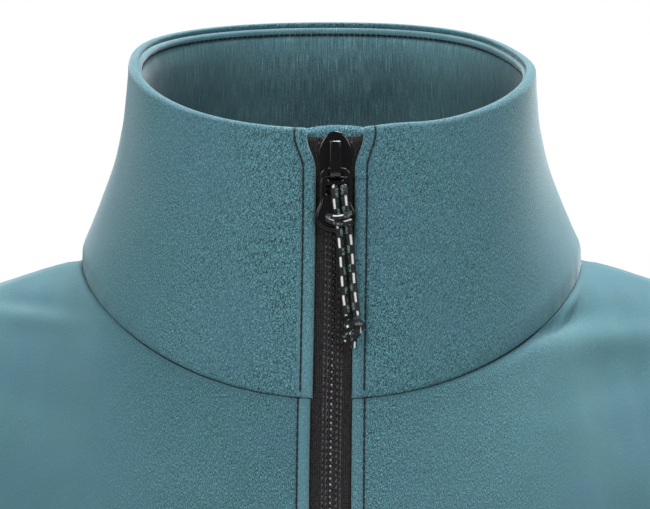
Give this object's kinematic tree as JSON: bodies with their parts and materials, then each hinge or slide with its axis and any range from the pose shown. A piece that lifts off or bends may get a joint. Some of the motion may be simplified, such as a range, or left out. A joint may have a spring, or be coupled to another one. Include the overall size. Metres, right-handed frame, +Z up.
{
  "type": "fleece jacket",
  "caption": "Whole fleece jacket with a high stand collar and a full centre-front zip with a corded pull, filled out as if worn, open at neck, hem and cuffs.",
  "frame": {"origin": "centre of the wearer's neck at the height of the shoulder seams' inner ends", "axes": "+Z up, -Y out of the garment's front, +X towards the wearer's left"},
  "size_m": [0.709, 0.279, 0.7709],
  "materials": {
    "fleece": "smooth-faced teal fleece, fine heathered knit, soft sheen",
    "inner_fleece": "brushed darker teal inside with a fine upright grain",
    "zip_tape": "black woven tape",
    "zip_coil": "black nylon coil",
    "black_enamel": "gloss black enamel on cast metal",
    "cord": "black braided cord with pale reflective flecks"
  },
  "bodies": {
    "jacket": {"front_right": "fleece", "front_left": "fleece", "back": "fleece", "sleeve_right": "fleece", "sleeve_left": "fleece", "collar": "fleece", "collar_facing": "inner_fleece", "zip_guard": "fleece", "zip_tape_right": "zip_tape", "zip_tape_left": "zip_tape", "zip_chain": "zip_coil", "zip_box": "zip_coil", "zip_slider": "black_enamel"},
    "pull": {"zip_pull": "black_enamel", "cord_strand_right": "cord", "cord_strand_left": "cord", "cord_hitch": "cord", "cord_knot": "cord"}
  },
  "joints": [
    {"name": "pull_swing", "type": "hinge", "parent": "jacket", "child": "pull", "pos_m": [0.00123, -0.06842, 0.0372], "axis": [-1, 0, 0], "range_deg": [0, 115]}
  ]
}
